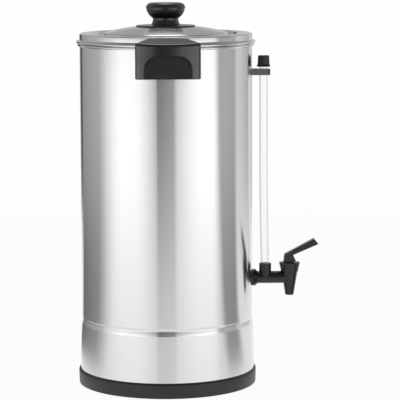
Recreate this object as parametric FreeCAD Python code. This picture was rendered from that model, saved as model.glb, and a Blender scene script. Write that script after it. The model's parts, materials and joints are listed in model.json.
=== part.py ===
import FreeCAD, Part
import math
import os

# Coffee urn for about a hundred cups: a brushed steel tank on a black base ring, with a loose lid,
# two side handles, a self-closing tap with a sight gauge on it, and a percolator and heaters inside.
# Origin: on the urn's axis, on the table. +Z is up, the tap points along +X, the handles lie on -Y and +Y.

V = FreeCAD.Vector
X_AXIS, Y_AXIS, Z_AXIS = V(1, 0, 0), V(0, 1, 0), V(0, 0, 1)

# Tank wall
body_r = 127.0
wall_t = 0.8
clear_of = 40.0
rim_z = 504.2
rim_bead_r = 2.1
seam_z = 98.0
seam_half = 3.0
seam_depth = 0.7
lower_flare = 1.2
lower_r = body_r + lower_flare
lower_drop = 7.0
skirt_flare = 1.7
skirt_r = lower_r + skirt_flare

# Base ring and bottom plate
ring_over = 2.7
ring_r = skirt_r + ring_over
ring_taper = 0.5
ring_foot_r = ring_r - ring_taper
ring_h = 22.4
ring_edge = 1.3
ring_seat_z = 12.0
ring_lip_t = 4.0
ring_lip_h = 8.0
ring_foot_w = 11.1
ring_land_r = ring_foot_r - ring_foot_w
flange_w = 9.0
flange_in_r = ring_land_r - flange_w
flange_low = 5.0
flange_t = 3.0
groove_gap = 0.1
plate_t = 1.0
plate_gap = 0.4
vent_count = 8
vent_l = 34.0
vent_w = 5.0
vent_r = 70.0
boss_r = 5.0
boss_in = 4.0
boss_circle_r = ring_land_r - boss_in
boss_count = 3
boss_angle = 60.0
base_screw_r = 2.0
base_head_r = 4.0
base_head_t = 2.6
slot_w = 1.0
slot_d = 1.0
bracket_w = 14.0
bracket_h = 20.0
bracket_t = 1.2

# Tank floor
floor_t = 1.0
floor_over_seam = 4.0
floor_z = seam_z + floor_over_seam
well_depth = 13.0
well_r = 24.0
well_draft = 2.0
land_r = 74.0
floor_rise = 2.3
floor_corner = 6.0
floor_flange_h = 6.0

# Heaters under the floor
main_ring_r = 36.0
main_w = 4.0
main_h = 7.0
heater_leg_inset = 0.4
main_gap_deg = 20.0
main_leg_l = 20.0
warm_ring_r = 65.0
warm_w = 3.0
warm_h = 5.5
warm_gap_deg = 12.0
warm_leg_l = 16.0
pin_r = 1.6
pin_l = 9.0
thermostat_r = 8.0
thermostat_h = 7.0
sensor_circle_r = 50.5
clip_t = 0.8
clip_w = 6.0
clip_foot = 5.0
tab_w = 6.3
tab_t = 0.8
tab_l = 8.0
tab_offset = 5.5
fuse_r = 2.2
fuse_l = 14.0
fuse_lead_r = 0.6
fuse_lead_l = 7.0
fuse_saddle_w = 6.0
fuse_saddle_l = 9.0
fuse_saddle_h = 5.0

# Cord gland, terminal block and ready lamp
gland_angle = 160.0
gland_z = 40.0
gland_bore_r = 3.9
gland_neck_w = 11.2
gland_flange_r = 8.6
gland_flange_t = 1.8
gland_in = 10.0
block_l = 30.0
block_w = 14.0
block_h = 13.0
block_r = 84.0
block_screw_r = 2.4
block_screw_pitch = 9.6
lamp_angle = 40.0
lamp_z = 46.0
lamp_r = 4.2
lamp_flange_r = 5.6
lamp_proud = 0.3
lamp_in = 12.0
lamp_clip_r = 7.2
lamp_clip_t = 2.0
lamp_pin_gap = 3.6
wire_r = 1.2
lead_stub = 12.0
lead_inlet_gap = 12.0
lead_spread = 8.0

# Bends of the leads as degrees round the base, radius, and height under the piece that they run to
supply_rise = 14.0
supply_bend = (156.0, 66.0)
supply_bend_rise = 26.0
sensor_rise = 18.0
sensor_bends = ((150.0, 74.0), (118.0, 66.0))
sensor_bend_rise = 34.0
sensor_bend_drop = 16.0
pin_drop = 14.0
tab_drop = 11.0
heater_bends = ((40.0, 40.0, 22.0), (-10.0, 34.0, 22.0), (-60.0, 40.0, 20.0), (-100.0, 44.0, 16.0))
heater_last_bend = (-150.0, 42.0)
lamp_bends = ((75.0, 70.0, 30.0), (120.0, 48.0, 16.0))

# Lid
lid_t = 0.8
lid_skirt_over = 0.4
lid_skirt_r = body_r + lid_skirt_over
lid_ring_w = 19.9
lid_ring_in_r = lid_skirt_r - lid_ring_w
lid_skirt_rise = 7.1
lid_skirt_low = rim_z + lid_skirt_rise
lid_skirt_h = 9.4
lid_ring_z = lid_skirt_low + lid_skirt_h
lid_corner = 1.6
dome_top_r = 44.0
moat_w = 17.1
dome_r = lid_ring_in_r - moat_w
dome_edge_rise = 0.6
dome_edge_z = lid_ring_z + dome_edge_rise
dome_h = 9.0
dome_top_z = dome_edge_z + dome_h
dome_bulge = 1.3
moat_depth = 8.1
moat_z = lid_ring_z - moat_depth
moat_draft = 1.2
lid_flange_w = 4.7
lid_flange_r = lid_skirt_r + lid_flange_w
lid_flange_t = 3.7
lid_rim_gap = 0.3
lid_lip_gap = 1.2
lid_lip_h = 7.5
lid_hole_r = 3.0

# Lid knob
collar_r = 43.8
collar_edge_t = 1.8
collar_t = 3.0
collar_land_r = 24.0
knob_r = 29.1
knob_band_h = 0.9
knob_step = 0.6
crown_r = 19.0
crown_drop = 0.8
shoulder_r = 26.6
bowl_mid_r = 25.9
neck_r = 18.9
knob_foot_h = 5.3
neck_low_z = dome_top_z + collar_t + knob_foot_h
neck_h = 4.0
bowl_low_z = neck_low_z + neck_h
bowl_mid_h = 6.7
bowl_mid_z = bowl_low_z + bowl_mid_h
bowl_h = 16.2
knob_wide_z = bowl_low_z + bowl_h
shoulder_h = 4.2
shoulder_z = knob_wide_z + shoulder_h
crown_h = 2.9
knob_top_z = shoulder_z + crown_h
knob_foot_r = 20.6
knob_pocket_in_r = 8.0
knob_pocket_out_r = 15.5
knob_pocket_h = 18.0
knob_screw_r = 2.5
knob_screw_l = 22.0
knob_head_r = 5.0
knob_head_t = 3.2
knob_washer_r = 9.0
knob_washer_t = 1.0

# Handles
handle_w = 92.3
handle_rear_w = 66.0
handle_mid_w = 85.0
handle_mid_out = 18.5
handle_mid_y = body_r + handle_mid_out
handle_front_out = 36.0
handle_front_y = body_r + handle_front_out
handle_end_out = 30.6
handle_end_y = body_r + handle_end_out
handle_end_w = 80.0
handle_side_out = 25.5
handle_side_y = body_r + handle_side_out
handle_bulge = 0.6
handle_top_rise = 14.5
handle_top_z = rim_z + handle_top_rise
handle_h = 54.9
handle_low_z = handle_top_z - handle_h
handle_back_drop = 1.2
handle_back_low_z = handle_low_z - handle_back_drop
handle_top_out = 7.0
handle_top_y = body_r + handle_top_out
handle_slope = 0.227
handle_round = 4.0
handle_skin = 3.4
handle_front_relief = 2.4
lid_clear_gap = 1.5
lid_clear_r = lid_flange_r + lid_clear_gap
rim_clear_drop = 4.0
recess_w = 72.0
recess_back_w = 59.0
recess_back_out = 21.0
recess_back_y = body_r + recess_back_out
recess_top_drop = 21.9
recess_top_z = handle_top_z - recess_top_drop
recess_roof_drop = 5.0
recess_corner = 20.0
mount_t = 4.0
handle_boss_r = 5.2
handle_screw_deg = 10.0
handle_screw_rise = 16.2
handle_screw_z = handle_low_z + handle_screw_rise
handle_screw_r = 2.5
handle_screw_reach = 8.0
handle_head_r = 4.6
handle_head_t = 3.0
seal_r = 6.5
seal_t = 2.0

# Tap
tap_z = 155.0
tap_pipe_r = 9.05
tap_pipe_bore_r = 5.2
tap_shank_r = 8.0
tap_hole_gap = 0.3
tap_shank_reach = 16.0
tap_shank_in = body_r - tap_shank_reach
tap_seal_r = 12.2
tap_seal_t = 2.4
tap_seal_face_x = body_r + tap_seal_t
tap_flange_r = 13.05
tap_flange_t = 1.6
tap_flange_x = tap_seal_face_x + tap_flange_t
tap_flange_taper = 3.8
tap_flange_end_x = tap_flange_x + tap_flange_taper
tap_flange_end_r = 9.9
tap_in_seal_t = 3.2
tap_washer_t = 1.0
tap_washer_r = 13.0
tap_nut_af = 24.0
tap_nut_t = 7.0
barrel_out = 56.2
barrel_x = body_r + barrel_out
spout_drop = 26.4
spout_z = tap_z - spout_drop
spout_r = 6.25
spout_bore_r = 4.6
barrel_top_r = 12.2
barrel_rise = 9.4
barrel_top_z = tap_z + barrel_rise
barrel_wall = 1.7
tap_seat_drop = 7.0
tap_seat_z = tap_z - tap_seat_drop
tap_neck_rise = 16.0
neck_top_z = tap_z + tap_neck_rise
tap_neck_r = 11.4
tap_neck_bore_r = 9.6

# Bonnet, stem and seat cup
bonnet_low_r = 13.3
bonnet_top_r = 15.8
bonnet_wing_rise = 3.0
bonnet_wing_z = barrel_top_z + bonnet_wing_rise
bonnet_over_neck = 6.6
bonnet_top_z = neck_top_z + bonnet_over_neck
bonnet_roof_t = 3.2
bonnet_edge = 0.8
bonnet_notch_r = 3.2
bonnet_notch_at = 15.4
bonnet_notches = 4
bonnet_notch_floor = 0.6
stem_r = 2.5
running_gap = 0.05
cup_r = 6.4
cup_h = 6.0
cup_gap = 0.15
cup_nose_r = 4.2
cup_nose_h = 2.0
stem_collar_r = 5.6
stem_collar_t = 1.2
spring_wire_r = 0.45
spring_coil_r = 4.1
spring_turns = 6

# Tap lever
lever_pin_rise = 6.8
lever_pin_z = bonnet_top_z + lever_pin_rise
stem_over_pin = 3.6
stem_top_z = lever_pin_z + stem_over_pin
lever_pin_r = 1.4
lever_foot_gap = 0.2
lever_foot_x = 8.6
lever_cheek_w = 11.6
lever_slot_gap = 0.25
lever_slot_reach = 5.7
lever_swing_reach = 13.8
lever_web = 1.2
cam_reach = 4.0
cam_deg = 38.0
cam_over_deg = 4.0
cam_steps = 8
lever_back_rise = 5.2
lever_back_top = lever_pin_z + lever_back_rise
lever_back_lean = 0.9
lever_heel = 0.4
lever_heel_x = 6.0
lever_heel_z = 3.1
lever_bend_in = 1.6
lever_bend_x = barrel_x - lever_bend_in
lever_bend_rise = 8.5
lever_bend_z = lever_pin_z + lever_bend_rise
lever_under_out = 5.2
lever_under_x = barrel_x + lever_under_out
lever_under_rise = 4.2
lever_under_z = lever_pin_z + lever_under_rise
lever_tip_top_out = 36.6
lever_tip_top_x = barrel_x + lever_tip_top_out
lever_tip_top_rise = 28.6
lever_tip_top_z = lever_pin_z + lever_tip_top_rise
lever_tip_low_out = 42.8
lever_tip_low_x = barrel_x + lever_tip_low_out
lever_tip_low_rise = 20.8
lever_tip_low_z = lever_pin_z + lever_tip_low_rise
lever_tip_w = 17.0
lever_root_w = 11.6
lever_round = 1.4

# Sight gauge
gauge_out = 17.3
gauge_x = body_r + gauge_out
tube_r = 6.3
tube_bore_r = 5.0
tube_bend_z = 330.0
tube_lean = 2.4
tube_foot_gap = 0.5
socket_out = 2.5
socket_x = gauge_x + socket_out
socket_r = 9.05
socket_rise = 21.3
socket_top_z = tap_z + socket_rise
socket_floor_rise = 11.0
socket_floor_z = tap_z + socket_floor_rise
grommet_r = 7.4
grommet_h = 9.4
tube_top_z = 482.0
cap_over_tube = 5.0
cap_top_z = tube_top_z + cap_over_tube
cap_h = 16.6
cap_low_z = cap_top_z - cap_h
cap_flange_h = 3.4
cap_flange_r = 10.4
cap_r = 8.9
cap_top_r = 8.2
cap_edge = 1.2
cap_vent_r = 0.8
cap_flutes = 10
cap_flute_r = 1.5
cap_fit_gap = 0.06
cap_roof_gap = 0.2
arm_drop = 12.2
arm_low_z = cap_low_z - arm_drop
arm_h = 8.8
arm_high_z = arm_low_z + arm_h
arm_past_tube = 6.1
arm_end_x = gauge_x + arm_past_tube
arm_t = 1.2
arm_half = 9.2
clip_nose_out = 9.8
clip_nose_x = gauge_x + clip_nose_out
clip_rear_in = 8.9
clip_rear_x = gauge_x - clip_rear_in
clip_nose_round = 5.0
rivet_r = 2.0
rivet_head_r = 3.8
rivet_head_t = 1.2
rivet_seal_r = 5.5
rivet_seal_t = 1.6

# Percolator
foot_r = 21.5
foot_gap = 0.2
bell_t = 1.0
bell_top_r = 13.0
bell_h = 12.0
hub_h = 6.0
hub_t = 1.6
bell_holes = 6
bell_hole_r = 2.0
pump_r = 6.0
pump_bore_r = 5.2
pump_top_z = 500.0
valve_r = 11.5
valve_t = 1.2
valve_travel = 2.6
pump_foot_r = 8.5
pump_foot_t = 1.2
collar_low_z = 368.0
collar_h = 4.0
pump_collar_r = 12.0
basket_r = 92.0
basket_t = 0.7
basket_h = 84.0
basket_rim_r = 1.0
sleeve_gap = 0.4
sleeve_rise = 8.0
basket_hole_r = 1.3
basket_rows = (26.0, 40.0, 54.0, 68.0, 82.0)
hole_spacing = 12.5
cover_gap = 0.2
cover_lip_h = 4.0
cover_lip_gap = 0.8
cover_rows = (30.0, 48.0, 66.0)

SAVED = []


def save(name, shape):
    """Write one named piece and print what it is made of."""
    shape.exportStep("parts/" + name + ".step")
    SAVED.append(name)
    state = "ok" if shape.isValid() else "NOT VALID"
    print(f"{name:22s} {len(shape.Solids):2d} solid(s) {shape.Volume:12.1f} mm3 {state}")


def path(*steps):
    """A line in the XZ plane. A step is a point, or a pair (middle, end) for an arc."""
    here = V(steps[0][0], 0, steps[0][1])
    edges = []
    for step in steps[1:]:
        if isinstance(step[0], tuple):
            end = V(step[1][0], 0, step[1][1])
            edges.append(Part.Arc(here, V(step[0][0], 0, step[0][1]), end).toShape())
        else:
            end = V(step[0], 0, step[1])
            edges.append(Part.LineSegment(here, end).toShape())
        here = end
    return Part.Wire(edges)


def flat(*steps):
    """The face inside a closed outline in the XZ plane."""
    first = steps[0]
    last = steps[-1][1] if isinstance(steps[-1][0], tuple) else steps[-1]
    closed = steps if first == last else steps + (first,)
    return Part.Face(path(*closed))


def turned(*steps):
    """A solid turned about the urn's axis from an outline of radius and height."""
    return flat(*steps).revolve(V(), Z_AXIS, 360)


def sheet(thickness, *steps):
    """Sheet metal turned about the urn's axis. The metal lies on the left of the path."""
    return path(*steps).makeOffset2D(thickness, 0, True, True).revolve(V(), Z_AXIS, 360)


def rod(radius, start, end):
    """A cylinder from one point to another."""
    along = V(*end) - V(*start)
    return Part.makeCylinder(radius, along.Length, V(*start), along)


def taper(start_r, end_r, start, end):
    """A cone frustum from one point to another."""
    along = V(*end) - V(*start)
    return Part.makeCone(start_r, end_r, along.Length, V(*start), along)


def block(low, high):
    """A box between two corners."""
    size = V(*high) - V(*low)
    return Part.makeBox(size.x, size.y, size.z, V(*low))


def spun(shape, degrees):
    """A copy turned about the urn's axis."""
    copy = shape.copy()
    copy.rotate(V(), Z_AXIS, degrees)
    return copy


def moved(shape, x=0.0, y=0.0, z=0.0):
    """A shifted copy."""
    copy = shape.copy()
    copy.translate(V(x, y, z))
    return copy


def ring_of(shape, count, first=0.0):
    """Copies spread evenly round the urn's axis."""
    return [spun(shape, first + 360.0 * i / count) for i in range(count)]


def group(shapes):
    """Separate solids kept together in one piece list."""
    return Part.Compound(shapes)


def wall_side(offset):
    """The wall's outer face from its foot to the tank, moved in or out by an offset."""
    return (
        (skirt_r + offset, ring_seat_z),
        (lower_r + offset, seam_z - lower_drop),
        (body_r + offset, seam_z - seam_half),
        ((body_r + offset - seam_depth, seam_z), (body_r + offset, seam_z + seam_half)),
    )


def wall_r_at(z):
    """The wall's outer radius at a height on the flared skirt."""
    lean = (skirt_r - lower_r) / (seam_z - lower_drop - ring_seat_z)
    return skirt_r - lean * (z - ring_seat_z)


def inside_of(offset, top_z):
    """Everything inside the wall's outer face moved by an offset."""
    side = wall_side(offset)
    return turned((0, ring_seat_z), *side, (body_r + offset, top_z), (0, top_z))


inner_r = body_r - wall_t
bead_r_at = inner_r + rim_bead_r
rim_top_z = rim_z + rim_bead_r
lid_low_z = rim_top_z + lid_rim_gap
knob_low_z = dome_top_z + collar_t
lid_under_z = dome_top_z - lid_t
knob_head_z = lid_under_z - knob_washer_t
plate_top = flange_low
screw_head_z = flange_low - plate_t - base_head_t
bracket_foot_z = ring_h
well_floor_z = floor_z - well_depth + floor_t
block_pitch = (-block_screw_pitch, 0, block_screw_pitch)
block_screw_z = plate_top + 0.6 * block_h
gland_half = 0.5 * gland_neck_w


def tank_wall():
    """The outer wall: a wired rim at the top, a seam groove where the floor sits, a flared skirt."""
    rim_start_z = rim_z - math.sqrt(rim_bead_r**2 - (bead_r_at - body_r) ** 2)
    round_over = math.radians(30)
    rim_mid = (bead_r_at + rim_bead_r * math.cos(round_over), rim_z + rim_bead_r * math.sin(round_over))
    outside = wall_side(0)
    inside = wall_side(-wall_t)
    nick = (inside[3][0], inside[2])
    wall = turned(
        *outside,
        (body_r, rim_start_z),
        (rim_mid, (inner_r, rim_z)),
        inside[3][1],
        nick,
        inside[1],
        inside[0],
    )
    holes = [
        rod(tap_shank_r + tap_hole_gap, (inner_r - 5, 0, tap_z), (body_r + 5, 0, tap_z)),
        rod(rivet_r, (inner_r - 5, 0, arm_mid_z), (body_r + 5, 0, arm_mid_z)),
        spun(rod(lamp_r, (inner_r - 5, 0, lamp_z), (skirt_r + 5, 0, lamp_z)), lamp_angle),
        spun(gland_neck(inner_r - 5, skirt_r + 5), gland_angle),
    ]
    holes += handle_screw_rods(handle_screw_r, inner_r - 5, body_r + 5)
    return wall.cut(group(holes))


def tank_floor():
    """The tank's floor pan: a pump well in the middle and a flange welded inside the wall."""
    corner_r = inner_r - floor_corner
    low_z = floor_z + floor_rise
    turn = floor_corner * (1 - math.sqrt(0.5))
    return sheet(
        floor_t,
        (0, floor_z - well_depth),
        (well_r, floor_z - well_depth),
        (well_r + well_draft, floor_z),
        (land_r, floor_z),
        (corner_r, low_z),
        ((inner_r - turn, low_z + turn), (inner_r, low_z + floor_corner)),
        (inner_r, low_z + floor_corner + floor_flange_h),
    )


def base_screw_holes(radius, low, high):
    """Rods on the base screw circle."""
    one = rod(radius, (boss_circle_r, 0, low), (boss_circle_r, 0, high))
    return ring_of(one, boss_count, boss_angle)


def base_ring():
    """The black base ring: a groove takes the wall's foot, an inner flange carries the bottom plate."""
    lean = (skirt_r - lower_r) * ring_lip_h / (seam_z - lower_drop - ring_seat_z)
    groove_out = skirt_r + groove_gap
    groove_in = skirt_r - wall_t - lean - groove_gap
    lip_in = groove_in - ring_lip_t
    shoulder = 3.0 * ring_edge
    ring = turned(
        (ring_foot_r - ring_edge, 0),
        ((ring_foot_r - 0.3 * ring_edge, 0.3 * ring_edge), (ring_foot_r, ring_edge)),
        (ring_r, ring_h - shoulder),
        ((ring_r - 0.25 * shoulder, ring_h - 0.35 * shoulder), (groove_out, ring_h)),
        (groove_out, ring_seat_z),
        (groove_in, ring_seat_z),
        (groove_in, ring_seat_z + ring_lip_h),
        (lip_in, ring_seat_z + ring_lip_h),
        (lip_in, flange_low + flange_t),
        (flange_in_r, flange_low + flange_t),
        (flange_in_r, flange_low),
        (ring_land_r, flange_low),
        (ring_land_r, 0),
    )
    bosses = base_screw_holes(boss_r, flange_low + 0.5 * flange_t, bracket_foot_z)
    inside = turned((0, 0), (lip_in + 0.5 * ring_lip_t, 0), (lip_in + 0.5 * ring_lip_t, ring_h), (0, ring_h))
    for boss in bosses:
        ring = ring.fuse(boss.common(inside))
    return ring.cut(group(base_screw_holes(base_screw_r, 0, ring_h + 1)))


def bottom_plate():
    """The steel plate under the base, with cooling slots."""
    plate_r = ring_land_r - plate_gap
    plate = rod(plate_r, (0, 0, flange_low - plate_t), (0, 0, flange_low))
    half = 0.5 * (vent_l - vent_w)
    slot = block((vent_r - half, -0.5 * vent_w, 0), (vent_r + half, 0.5 * vent_w, ring_h))
    for end in (vent_r - half, vent_r + half):
        slot = slot.fuse(rod(0.5 * vent_w, (end, 0, 0), (end, 0, ring_h)))
    holes = ring_of(slot, vent_count) + base_screw_holes(base_screw_r, 0, ring_h)
    return plate.cut(group(holes))


def wall_brackets():
    """Angle brackets welded inside the skirt, tapped for the base screws."""
    half = 0.5 * bracket_w
    reach_in = boss_circle_r - boss_r
    high = bracket_foot_z + bracket_h
    leg_space = block((reach_in, -half, bracket_foot_z), (skirt_r + 2, half, high))
    leg = inside_of(-wall_t, rim_z).cut(inside_of(-wall_t - bracket_t, rim_z)).common(leg_space)
    foot = block((reach_in, -half, bracket_foot_z), (skirt_r, half, bracket_foot_z + bracket_t))
    foot = foot.common(inside_of(-wall_t - 0.5 * bracket_t, rim_z))
    one = leg.fuse(foot).removeSplitter()
    one = one.cut(rod(base_screw_r, (boss_circle_r, 0, 0), (boss_circle_r, 0, high)))
    return group(ring_of(one, boss_count, boss_angle))


def base_screws():
    """Pan-head screws that pull the bottom plate, the base ring and the wall together."""
    head_top = flange_low - plate_t
    one = rod(base_head_r, (boss_circle_r, 0, screw_head_z), (boss_circle_r, 0, head_top))
    end = bracket_foot_z + bracket_t + 1.0
    one = one.fuse(rod(base_screw_r, (boss_circle_r, 0, head_top), (boss_circle_r, 0, end)))
    half = 0.5 * slot_w
    low, high = boss_circle_r - base_head_r, boss_circle_r + base_head_r
    slot = block((low, -half, screw_head_z), (high, half, screw_head_z + slot_d))
    return group(ring_of(one.cut(slot), boss_count, boss_angle))


def heater(ring_r, half_w, height, gap_deg, leg_l):
    """A tubular heater ring brazed flat to the floor's underside, with two cold legs."""
    flank = floor_z - height + half_w
    section = flat(
        (ring_r - half_w, floor_z),
        (ring_r - half_w, flank),
        ((ring_r, floor_z - height), (ring_r + half_w, flank)),
        (ring_r + half_w, floor_z),
    )
    section.rotate(V(), Z_AXIS, 180 + gap_deg)
    body = section.revolve(V(), Z_AXIS, 360 - 2 * gap_deg)
    for side in (-1, 1):
        leg = rod(half_w - heater_leg_inset, (-ring_r, 0, floor_z - height - leg_l), (-ring_r, 0, floor_z - 1))
        body = body.fuse(spun(leg, side * gap_deg))
    return body


def terminal_spots():
    """Where the heater legs end: angle, radius and height."""
    spots = []
    for ring_r, height, gap_deg, leg_l in (
        (main_ring_r, main_h, main_gap_deg, main_leg_l),
        (warm_ring_r, warm_h, warm_gap_deg, warm_leg_l),
    ):
        for side in (-1, 1):
            spots.append((180 + side * gap_deg, ring_r, floor_z - height - leg_l))
    return spots


def element_terminals():
    """The welded pins at the ends of the heater legs."""
    pins = [spun(rod(pin_r, (r, 0, z - pin_l), (r, 0, z)), angle) for angle, r, z in terminal_spots()]
    return group(pins)


def thermostat():
    """A disc thermostat held against the floor's underside, with two blade tabs."""
    low = floor_z - thermostat_h
    disc = rod(thermostat_r, (sensor_circle_r, 0, low), (sensor_circle_r, 0, floor_z))
    for side in (-1, 1):
        x = sensor_circle_r + side * tab_offset
        tab = block((x - 0.5 * tab_t, -0.5 * tab_w, low - tab_l), (x + 0.5 * tab_t, 0.5 * tab_w, low + 1))
        disc = disc.fuse(tab)
    return spun(disc, 90)


def thermostat_clip():
    """A strap under the thermostat with two feet welded to the floor."""
    low = floor_z - thermostat_h
    half = 0.5 * clip_w
    x0, x1 = sensor_circle_r - half, sensor_circle_r + half
    side = thermostat_r + clip_t
    strap = block((x0, -side, low - clip_t), (x1, side, low))
    for sign in (-1, 1):
        inner, outer = sorted((sign * thermostat_r, sign * side))
        strap = strap.fuse(block((x0, inner, low - clip_t), (x1, outer, floor_z)))
        inner, outer = sorted((sign * thermostat_r, sign * (side + clip_foot)))
        strap = strap.fuse(block((x0, inner, floor_z - clip_t), (x1, outer, floor_z)))
    strap = strap.cut(rod(thermostat_r, (sensor_circle_r, 0, low), (sensor_circle_r, 0, floor_z)))
    return spun(strap.removeSplitter(), 90)


def thermal_fuse():
    """The one-shot thermal fuse, lying along the floor's underside with a lead at each end."""
    z = floor_z - fuse_r - 1.0
    half = 0.5 * fuse_l
    fuse = rod(fuse_r, (sensor_circle_r, -half, z), (sensor_circle_r, half, z))
    end = half + fuse_lead_l
    fuse = fuse.fuse(rod(fuse_lead_r, (sensor_circle_r, -end, z), (sensor_circle_r, end, z)))
    return spun(fuse, -90)


def fuse_saddle():
    """The metal saddle that presses the thermal fuse to the floor."""
    z = floor_z - fuse_r - 1.0
    half_l, half_w = 0.5 * fuse_saddle_l, 0.5 * fuse_saddle_w
    low, high = sensor_circle_r - half_l, sensor_circle_r + half_l
    saddle = block((low, -half_w, floor_z - fuse_saddle_h), (high, half_w, floor_z))
    saddle = saddle.cut(rod(fuse_r, (sensor_circle_r, -fuse_l, z), (sensor_circle_r, fuse_l, z)))
    return spun(saddle, -90)


def gland_neck(start_r, end_r):
    """The gland's square neck, which can't turn in its hole, from one radius to another."""
    low, high = gland_z - gland_half, gland_z + gland_half
    return block((start_r, -gland_half, low), (end_r, gland_half, high))


def cord_gland():
    """The bushing in the skirt that a supply cord would pass through."""
    outer_face = inside_of(0, rim_z)
    gland = gland_neck(lower_r - wall_t - gland_in, skirt_r + gland_flange_t)
    flange = rod(gland_flange_r, (lower_r - 4, 0, gland_z), (skirt_r + gland_flange_t, 0, gland_z))
    gland = gland.fuse(flange.cut(outer_face))
    bore = rod(gland_bore_r, (lower_r - clear_of, 0, gland_z), (skirt_r + clear_of, 0, gland_z))
    return spun(gland.cut(bore), gland_angle)


def terminal_block():
    """The insulating block on the bottom plate where the leads meet the supply cord."""
    half_l, half_w = 0.5 * block_l, 0.5 * block_w
    top = plate_top + block_h
    body = block((block_r - half_w, -half_l, plate_top), (block_r + half_w, half_l, top))
    for y in block_pitch:
        body = body.cut(rod(block_screw_r, (block_r, y, block_screw_z), (block_r, y, top)))
    return spun(body, gland_angle)


def block_screws():
    """The clamping screws in the terminal block."""
    screws = []
    half = 0.5 * slot_w
    top = plate_top + block_h - slot_d
    for y in block_pitch:
        screw = rod(block_screw_r, (block_r, y, block_screw_z), (block_r, y, top))
        low, high = y - block_screw_r, y + block_screw_r
        slot = block((block_r - half, low, top - slot_d), (block_r + half, high, top))
        screws.append(spun(screw.cut(slot), gland_angle))
    return group(screws)


def ready_lamp():
    """The lens of the ready lamp, set in the skirt."""
    face_x = wall_r_at(lamp_z) + lamp_proud
    lens = rod(lamp_r, (lower_r - wall_t - lamp_in, 0, lamp_z), (face_x, 0, lamp_z))
    flange = rod(lamp_flange_r, (lower_r - 4, 0, lamp_z), (face_x, 0, lamp_z)).cut(inside_of(0, rim_z))
    return spun(lens.fuse(flange), lamp_angle)


def lamp_clip():
    """The spring washer that holds the lamp from inside."""
    x = lower_r - wall_t - 0.5 * lamp_in
    clip = rod(lamp_clip_r, (x, 0, lamp_z), (x + lamp_clip_t, 0, lamp_z))
    return spun(clip.cut(rod(lamp_r, (x - 5, 0, lamp_z), (x + 5, 0, lamp_z))), lamp_angle)


def cable(points):
    """A lead along straight runs joined by tangent arcs."""
    spots = [V(*p) for p in points]
    edges = []
    here = spots[0]
    for before, corner, after in zip(spots, spots[1:], spots[2:]):
        into, out = corner - before, after - corner
        turn = into.getAngle(out)
        reach = 0.45 * min(into.Length, out.Length)
        start = corner - into * (reach / into.Length)
        end = corner + out * (reach / out.Length)
        radius = reach / math.tan(0.5 * turn)
        inward = (out * (1 / out.Length) - into * (1 / into.Length)).normalize()
        middle = corner + inward * (radius / math.cos(0.5 * turn) - radius)
        edges.append(Part.LineSegment(here, start).toShape())
        edges.append(Part.Arc(start, middle, end).toShape())
        here = end
    edges.append(Part.LineSegment(here, spots[-1]).toShape())
    wire = Part.Wire(edges)
    ring = Part.Wire([Part.makeCircle(wire_r, spots[0], spots[1] - spots[0])])
    return wire.makePipeShell([ring], True, False)


def at(angle, radius, z):
    """A point given by its angle about the axis, its radius and its height."""
    turn = math.radians(angle)
    return (radius * math.cos(turn), radius * math.sin(turn), z)


def beside(angle, radius, aside, z):
    """A point beside the radius at an angle."""
    return at(angle + math.degrees(math.atan2(aside, radius)), math.hypot(radius, aside), z)


def supply_leads():
    """Leads from the terminal block up to the thermostat and to the first heater pin."""
    top = plate_top + block_h
    side = math.degrees(math.atan2(block_screw_pitch, block_r))
    main_low = floor_z - main_h - main_leg_l - pin_l
    tab_low = floor_z - thermostat_h - tab_l
    to_heater = [
        at(gland_angle - side, block_r, top),
        at(gland_angle - side, block_r, top + supply_rise),
        at(*supply_bend, top + supply_bend_rise),
        at(180 - main_gap_deg, main_ring_r, main_low - pin_drop),
        at(180 - main_gap_deg, main_ring_r, main_low),
    ]
    to_thermostat = [
        at(gland_angle + side, block_r, top),
        at(gland_angle + side, block_r, top + sensor_rise),
        at(*sensor_bends[0], top + sensor_bend_rise),
        at(*sensor_bends[1], tab_low - sensor_bend_drop),
        at(90, sensor_circle_r + tab_offset, tab_low - tab_drop),
        at(90, sensor_circle_r + tab_offset, tab_low),
    ]
    return group([cable(to_heater), cable(to_thermostat)])


def heater_leads():
    """The lead from the thermostat round to the thermal fuse and on to the second heater pin."""
    tab_low = floor_z - thermostat_h - tab_l
    main_low = floor_z - main_h - main_leg_l - pin_l
    to_warmer = [
        at(90, sensor_circle_r - tab_offset, tab_low),
        at(90, sensor_circle_r - tab_offset, tab_low - tab_drop),
        *[at(angle, radius, tab_low - drop) for angle, radius, drop in heater_bends],
        at(*heater_last_bend, main_low - sensor_bend_drop),
        at(180 + main_gap_deg, main_ring_r, main_low - pin_drop),
        at(180 + main_gap_deg, main_ring_r, main_low),
    ]
    return group([cable(to_warmer)])


def lamp_leads():
    """The pair of leads from the ready lamp round to the inlets of the terminal block."""
    lamp_back = lower_r - wall_t - lamp_in
    inlet_r = block_r - 0.5 * block_w
    inlet_z = plate_top + 0.5 * block_h
    leads = []
    for side in (-0.5, 0.5):
        pin = side * lamp_pin_gap
        apart = side * lead_spread
        inlet = -side * lead_inlet_gap
        route = [
            beside(lamp_angle, lamp_back, pin, lamp_z),
            beside(lamp_angle, lamp_back - lead_stub, pin, lamp_z),
            *[at(angle, radius + apart, height) for angle, radius, height in lamp_bends],
            beside(gland_angle, inlet_r - 1.5 * lead_stub, inlet, inlet_z),
            beside(gland_angle, inlet_r, inlet, inlet_z),
        ]
        leads.append(cable(route))
    return group(leads)


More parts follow.
